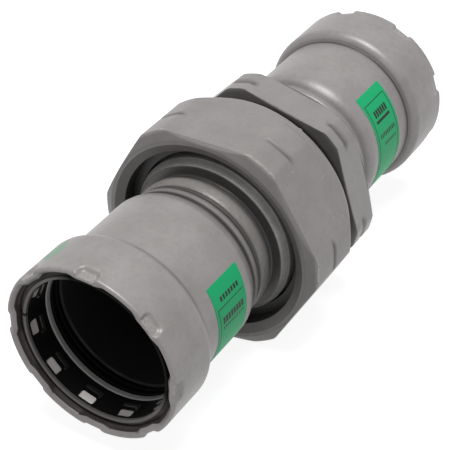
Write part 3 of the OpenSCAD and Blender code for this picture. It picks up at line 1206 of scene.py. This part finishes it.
@dataclass
class UnionJoint:
    """The middle of the fitting: welds, tail, nut, gasket and threaded half."""

    copies: TurnedCopies
    ripple: Ripple
    water_r: float = 18.8
    stub_r: float = 21.8
    prep_l: float = 1.9
    prep_r: float = 0.8
    weld_half: float = 2.5
    weld_crown: float = 0.9
    neck_r: float = 20.9
    cone_r: float = 24.2
    cone_l: float = 9.0
    tail_r: float = 25.6
    flange_r: float = 28.0
    flange_l: float = 4.5
    nut_af: float = 66.0
    nut_corner_r: float = 35.85
    nut_groove: float = 10.9
    nut_mouth_r: float = 29.0
    nut_sink_r: float = 31.5
    nut_sink_l: float = 1.4
    lip_r: float = 26.3
    lip_x: float = 6.0
    lip_end: float = 10.4
    thread_r: float = 29.75
    thread_root: float = 28.35
    thread_x: float = 1.2
    pitch: float = 2.309
    body_foot: float = 0.40
    nut_foot: float = 0.46
    bore_root: float = 30.0
    hex_af: float = 60.0
    hex_x: float = 14.65
    hex_l: float = 11.75
    hex_corner_r: float = 33.0
    hex_angle: float = 104.9
    relief_r: float = 28.2
    relief_l: float = 2.2
    edge_round: float = 0.13

    def build(self) -> None:
        """Builds every piece of the union."""
        self.weld(End.FRONT, 2.0)
        self.weld(End.REAR, 7.0)
        self.tail()
        self.nut()
        self.threaded_half()
        gasket = bpy.data.objects["union_gasket"]
        gasket.data.materials.clear()
        gasket.data.materials.append(GASKET_EPDM.material())
        LOG.info("union_gasket: kept from the frame")

    def in_waterway(self, x: float, r: float) -> bool:
        """Tells whether a face lies in the waterway."""
        return r < self.water_r + 0.2

    def weld(self, end: End, seed: float) -> None:
        """Builds one butt weld: a crowned bead with frozen ripples."""
        low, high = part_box(f"{end.prefix}_weld")
        middle = (low.x + high.x) / 2 / MM
        rows = []
        for t in np.radians(np.linspace(0, 180, 23)):
            height = math.sin(t)
            x, r = middle - self.weld_half * math.cos(t), self.stub_r + self.weld_crown * height
            # Painted shade at the bead's toes, none on its crown.
            rows.append(plain(x, r, 0.9 - 0.9 * height, height))
        rows += [plain(middle + 0.6, self.water_r), plain(middle - 0.6, self.water_r)]
        piece = sector(f"{end.prefix}_weld_bead", rows, np.linspace(0, 45, 73))
        self.copies.apply(piece, WELD_STEEL)
        settle(piece, 40)
        self.ripple.apply(piece, WELD_STEEL, 0.35, 1.1, seed)
        settle(piece, 60)
        dress(piece, end.body, WELD_STEEL, f"{end.prefix}_weld")

    def tail(self) -> None:
        """Builds the turned tail with its neck, cone, collar and flange."""
        low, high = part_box("union_tail")
        start, face = low.x / MM, high.x / MM
        flange = face - self.flange_l
        cone = flange - self.cone_l
        fillet, rounding, bevel = 0.8, 0.5, 0.6
        section = [(start, self.water_r), (start, self.water_r + self.prep_r)]
        section += [(start + self.prep_l, self.stub_r), (start + 2.5, self.neck_r)]
        section += arc(cone - fillet, self.neck_r + fillet, fillet, 270, 360, 6)
        section += [(cone, self.cone_r - 0.2), (cone + 0.2, self.cone_r)]
        section += arc(cone + 2.7, self.tail_r - rounding, rounding, 140, 90, 4)
        section += [(flange, self.tail_r), (flange, self.flange_r), (face - bevel, self.flange_r)]
        section += [(face, self.flange_r - bevel), (face, self.water_r)]
        # Painted shade, deepest at the cone's foot and on the flange's edge, none on the ring.
        edges = [start + 1.5, start + 3.0, cone - 1.0, cone - 0.1, cone + 0.2, cone + 1.2, flange - 2, flange]
        painted_shade = [0.5, 0.3, 0.6, 1.0, 0.2, 0.0, 0.0, 1.0]
        rows = [plain(x, r, float(np.interp(x, edges, painted_shade))) for x, r in fine(section, 0.8)]
        piece = sector("tail_turned", rows, np.linspace(0, 45, 31))
        # The ring inside the nut's mouth gets the machined steel painted lighter, as a painted highlight.
        bright = (LIT_RING_STEEL, lambda x, r: r > self.cone_r - 0.1 and x < flange - 1)
        inside = ((BORE_STEEL, self.in_waterway), bright)
        self.copies.complete(piece, End.FRONT.body, TURNED_STEEL, "union_tail", inside=inside)

    @staticmethod
    def hexagon(angle: np.ndarray, across: float, edge: float) -> np.ndarray:
        """Returns the radius of a hexagon with rounded corners, a flat at angle 0."""
        flats = [across / 2 / np.cos(np.radians(angle - side)) for side in (-60, 0, 60)]
        return smooth_least(smooth_least(flats[1], flats[0], edge), flats[2], edge)

    def hex_rows(
        self,
        profile: Outline,
        across: float,
        lines: list[tuple[float, float, float]],
        shade: tuple[float, float],
        wear_and_painted_light: float = 0.0,
    ) -> list[Station]:
        """Returns rows of a hexagonal bar whose corners are turned to a profile.

        Args:
            profile: (x, greatest radius) along the bar; the third point ends the front bevel.
            across: width across the flats.
            lines: (x, half width, amount) of the painted shade in turned grooves and along edges.
            shade: amounts of painted shade on the front and on the back face.
            wear_and_painted_light: amount of scuffed metal on the corners' front edge, partly a painted
                glint.
        """
        front, back = profile[2][0], profile[-1][0]

        def row(x: float, limit: float) -> Station:
            """Returns one row, as far out as the bar and the profile allow."""
            line_shade = sum(amount * math.exp(-(((x - place) / wide) ** 2)) for place, wide, amount in lines)
            worn_and_glint = wear_and_painted_light * math.exp(-(((x - front) / 0.35) ** 2))
            shaded = shade[0] * np.clip((front - x) / 0.2, 0, 1)
            shaded += shade[1] * np.clip((x - back + 0.8) / 0.3, 0, 1)

            def radius(angle: np.ndarray) -> np.ndarray:
                """Returns the bar's radius, cut down to the limit."""
                bar = self.hexagon(angle, across, self.edge_round)
                return smooth_least(bar, np.full_like(angle, limit), self.edge_round)

            def marks(angle: np.ndarray) -> np.ndarray:
                """Returns scuffed metal and a painted glint on the corners' front edge, and painted shade
                along the grooves and edges and on the faces.
                """
                corner = np.clip((np.abs(angle) - 20) / 4, 0, 1)
                return corner * (worn_and_glint - line_shade) - shaded

            return Station(x, radius, marks)

        return [row(x, limit) for x, limit in fine(profile, 0.3)]

    @staticmethod
    def hex_sector(name: str, rows: Sequence[Station]) -> Piece:
        """Builds one flat's sector, with its columns closer together towards the corners."""
        share = np.linspace(-1, 1, 85)
        return sector(name, rows, 30 * np.sign(share) * (1 - (1 - np.abs(share)) ** 1.25))

    def nut(self) -> None:
        """Builds the union nut: turned corners, countersunk mouth, lip and thread."""
        low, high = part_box("union_nut")
        front, back = low.x / MM, high.x / MM
        half, corner, groove = self.nut_af / 2, self.nut_corner_r, front + self.nut_groove
        profile = [
            (front, half - 0.35),
            (front + 0.2, half + 0.05),
            (front + 2.0, corner),
            (groove, corner),
            (groove + 0.1, corner - 0.65),
            (groove + 1.7, corner),
            (back - 5.7, corner),
            (back - 0.2, half - 0.35),
            (back, half - 0.7),
        ]
        # Painted shade in the groove and by the back chamfer.
        lines = [(groove + 0.6, 0.8, 0.7), (back - 5.6, 0.3, 0.3)]
        lip, lip_back, sink = front + self.lip_x, front + self.lip_end, front + self.nut_sink_l
        # The third column is painted shade: full in the bore, on the lip and in the mouth, less on the
        # countersink.
        inner = [
            (back, self.bore_root + 1.2, 0.8),
            (back - 1.2, self.bore_root, 1.0),
            (lip_back, self.bore_root, 1.0),
            (lip_back, self.lip_r, 1.0),
            (lip, self.lip_r, 1.0),
            (lip, self.nut_mouth_r, 1.0),
            (sink + 0.05, self.nut_mouth_r, 0.9),
            (sink, self.nut_mouth_r, 0.45),
            (front + 0.12, self.nut_sink_r, 0.35),
            (front, self.nut_sink_r + 0.15, 0.0),
        ]
        # Front face painted a little darker, as painted shade, and a painted glint on the corners' front
        # edge.
        rows = self.hex_rows(profile, self.nut_af, lines, (0.35, 0), 0.9) + [plain(*row) for row in inner]
        piece = self.hex_sector("nut_hexagon", rows)
        self.copies.complete(piece, "nut", NUT_STEEL, "union_nut", sharp=35, count=6, first=90.0)
        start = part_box("threaded_body")[0].x / MM + self.thread_x + self.pitch * (self.body_foot + 0.5)
        while start - self.pitch * (1 + self.nut_foot) > lip_back + 0.2:
            start -= self.pitch
        radii = (self.bore_root + 0.05, self.thread_root + 0.2)
        self.thread("nut_thread", "nut", NUT_STEEL, (start, back - 1.6), radii, self.nut_foot)

    def threaded_half(self) -> None:
        """Builds the threaded half: face, thread, relief, hexagon and weld neck."""
        low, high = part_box("threaded_body")
        face, end = low.x / MM, high.x / MM
        front = face + self.hex_x
        back = front + self.hex_l
        half, corner, root, bevel = self.hex_af / 2, self.hex_corner_r, self.thread_root, 0.9
        # The shank's third column is painted shade, full on the relief between the nut and the hexagon.
        shank = [
            (face, self.water_r, 0.0),
            (face, root - bevel, 0.0),
            (face + bevel, root, 0.0),
            (front - self.relief_l - 0.2, root, 0.4),
            (front - self.relief_l, self.relief_r, 1.0),
            (front, self.relief_r, 1.0),
        ]
        profile = [
            (front, half - 0.4),
            (front + 0.1, half + 0.1),
            (front + 0.7, corner),
            (front + 4.25, corner),
            (front + 4.35, corner - 1.2),
            (front + 6.85, corner),
            (back - 1.3, corner),
            (back - 0.1, half + 0.1),
            (back, half - 0.3),
        ]
        neck = [
            (back, self.stub_r + 1.0),
            (back + 0.6, self.stub_r + 1.0),
            (end - self.prep_l, self.stub_r),
            (end, self.water_r + self.prep_r),
            (end, self.water_r),
        ]
        # Painted shade in the groove and by the back chamfer's edge.
        lines = [(front + 5.2, 1.0, 0.6), (back - 1.2, 0.3, 0.7)]
        rows = [plain(*row) for row in shank]
        # The hexagon's front and back faces are painted darker, as painted shade.
        rows += self.hex_rows(profile, self.hex_af, lines, (0.5, 0.8))
        rows += [plain(x, r) for x, r in neck]
        piece = self.hex_sector("threaded_hexagon", rows)
        inside = ((BORE_STEEL, self.in_waterway),)
        repeat = {"count": 6, "first": self.hex_angle}
        body = End.REAR.body
        self.copies.complete(piece, body, TURNED_STEEL, "threaded_body", sharp=35, inside=inside, **repeat)
        run = (face + self.thread_x + self.body_foot * self.pitch, front - self.relief_l)
        self.thread("body_thread", body, TURNED_STEEL, run, (root - 0.05, self.thread_r), self.body_foot)

    def thread(
        self,
        name: str,
        body: str,
        finish: Finish,
        run: tuple[float, float],
        radii: tuple[float, float],
        foot_share: float,
    ) -> None:
        """Builds a right-hand thread ridge as a short piece repeated along its helix.

        Args:
            name: the object's name.
            body: the body that it rides on.
            finish: its finish.
            run: place of the ridge's middle at its start, at angle 0, and where the thread ends.
            radii: radius at its foot and at its tip.
            foot_share: half width of its foot, as a share of the pitch.
        """
        step, flat, columns = 5.0, 0.2, 3
        rise, foot = self.pitch * step / 360, self.pitch * foot_share
        root, crest = radii
        under = root + math.copysign(0.2, root - crest)
        section = [(-foot, root), (-flat, crest), (flat, crest), (foot, root), (foot, under), (-foot, under)]
        points = [
            around(run[0] + x + rise * share, radius, math.radians(step * share))
            for share in np.linspace(0, 1, columns)
            for x, radius in section
        ]
        piece = shaped(name, points, skin(len(section), columns))
        turns = (run[1] - run[0] - foot) / self.pitch
        self.copies.apply(piece, finish, int(turns * 360 / step), 0.0, step, rise)
        close_ends(piece)
        settle(piece, 30)
        dress(piece, body, finish)


def colour_mark(copies: TurnedCopies) -> None:
    """Builds the green dab, a film that sinks into the collar at its uneven edge.

    Args:
        copies: turns the dab to its place.
    """
    low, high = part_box("front_colour_mark")
    middle = (low + high) / 2
    turn_back, grown, squat, count = 5, 1.4, 0.78, 36
    angle = math.degrees(math.atan2(middle.z, middle.y)) - turn_back
    reach, collar_r = grown * (high.x - low.x) / 2 / MM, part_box("front_socket")[1].z / MM
    points = []
    rings = ((0.3, 0.03), (0.7, 0.025), (1.0, -0.01), (0.7, -0.12))
    for share, lift in rings:
        for turn in np.linspace(0, 2 * math.pi, count, endpoint=False):
            ragged = share * (0.82 + 0.1 * math.sin(3 * turn + 1) + 0.06 * math.sin(7 * turn))
            u, v = reach * ragged * math.cos(turn), squat * reach * ragged * math.sin(turn)
            points.append((middle.x / MM + u, v, collar_r + lift))
    dab = bent("green_dab", points, closed_skin(count, len(rings)), collar_r)
    turned = Matrix.Rotation(math.radians(-turn_back), 4, "X") @ middle
    paint = replace(MARK_PAINT, middle=tuple(turned))
    copies.complete(dab, End.FRONT.body, paint, "front_colour_mark", sharp=60, count=1, first=angle, step=0.0)


# -------------------------------------------------------------------- studio


@dataclass
class Studio:
    """Pale floor, even white surroundings, a soft lamp and the camera."""

    azimuth: float = -57.3
    elevation: float = 36.0
    roll: float = -2.0
    distance: float = 419.1
    aim: tuple[float, float, float] = (-6.6, 3.3, -5.2)
    lens: float = 112.67
    fill: float = 0.2
    floor_light: float = 0.87
    lamp_place: tuple[float, float, float] = (-0.05, -0.1, 1.15)
    lamp_size: float = 0.6
    lamp_power: float = 9.2

    def build(self) -> None:
        """Builds floor, world, lamp and camera."""
        self.world()
        self.floor()
        self.lamp()
        self.camera()
        bpy.context.scene.view_settings.view_transform = "Standard"

    def seen(self, tree: Tree) -> Socket:
        """Returns 1 for camera, glossy and transmission rays, else 0."""
        rays = add(tree, "ShaderNodeLightPath", out=-1).outputs
        either = maths(tree, "MAXIMUM", rays["Is Camera Ray"], rays["Is Glossy Ray"])
        return maths(tree, "MAXIMUM", either, rays["Is Transmission Ray"])

    def world(self) -> None:
        """Makes surroundings that look white and light softly."""
        world = bpy.data.worlds.new("white_room")
        bpy.context.scene.world = world
        tree = cleared(world)
        strength = ramp(tree, self.seen(tree), (0.0, self.fill), (1.0, 1.0))
        light = add(tree, "ShaderNodeBackground", {"Color": (1, 1, 1, 1), "Strength": strength})
        add(tree, "ShaderNodeOutputWorld", {"Surface": light})

    def floor(self) -> None:
        """Makes a white floor that keeps a faint shadow."""
        side, height = 3.0 / MM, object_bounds()[0].z / MM
        corners = [(u * side, v * side, height) for u, v in ((-1, -1), (1, -1), (1, 1), (-1, 1))]
        floor = shaped("floor", corners, [(0, 1, 2, 3)])
        material = bpy.data.materials.new("floor_paper")
        tree = cleared(material)
        matt = add(tree, "ShaderNodeBsdfDiffuse", {"Color": (0.5, 0.5, 0.5, 1)})
        strength = maths(tree, "MULTIPLY", self.seen(tree), self.floor_light)
        glow = add(tree, "ShaderNodeEmission", {"Color": (1, 1, 1, 1), "Strength": strength})
        both = add(tree, "ShaderNodeAddShader", {0: matt, 1: glow})
        add(tree, "ShaderNodeOutputMaterial", {"Surface": both})
        floor.data.materials.append(material)
        floor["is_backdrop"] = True

    def lamp(self) -> None:
        """Hangs a square soft lamp that faces the fitting."""
        light = bpy.data.lights.new("overhead_softbox", "AREA")
        light.size, light.energy = self.lamp_size, self.lamp_power
        lamp = bpy.data.objects.new("overhead_softbox", light)
        lamp.location = self.lamp_place
        lamp.rotation_euler = Vector(self.lamp_place).to_track_quat("Z", "Y").to_euler()
        bpy.context.scene.collection.objects.link(lamp)

    def camera(self) -> None:
        """Sets the camera by its angles round the fitting."""
        azimuth, elevation = math.radians(self.azimuth), math.radians(self.elevation)
        level = math.cos(elevation)
        back = Vector((math.sin(azimuth) * level, -math.cos(azimuth) * level, math.sin(elevation)))
        turn = (-back).to_track_quat("-Z", "Y").to_matrix().to_4x4()
        turn = turn @ Matrix.Rotation(math.radians(self.roll), 4, "Z")
        data = bpy.data.cameras.new("camera")
        data.lens, data.sensor_width = self.lens, 36.0
        camera = bpy.data.objects.new("camera", data)
        camera.matrix_world = Matrix.Translation(Vector(self.aim) * MM + back * self.distance * MM) @ turn
        bpy.context.scene.collection.objects.link(camera)
        bpy.context.scene.camera = camera


def main() -> None:
    """Loads the frame and builds the fitting, its finishes and the studio."""
    logging.basicConfig(level=logging.INFO, format="%(name)s: %(message)s")
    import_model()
    copies = TurnedCopies()
    PressSocket(End.FRONT, copies, first_crimp=3.0, first_tooth=-8.0, label_start=149.0).build()
    PressSocket(
        End.REAR,
        copies,
        first_crimp=28.0,
        first_tooth=12.0,
        label_start=130.0,
        frame_at=8.0,
        print_rows=REAR_PRINT,
        neck_painted_shade=0.4,
    ).build()
    UnionJoint(copies, Ripple()).build()
    colour_mark(copies)
    Studio().build()


if __name__ == "__main__":
    main()
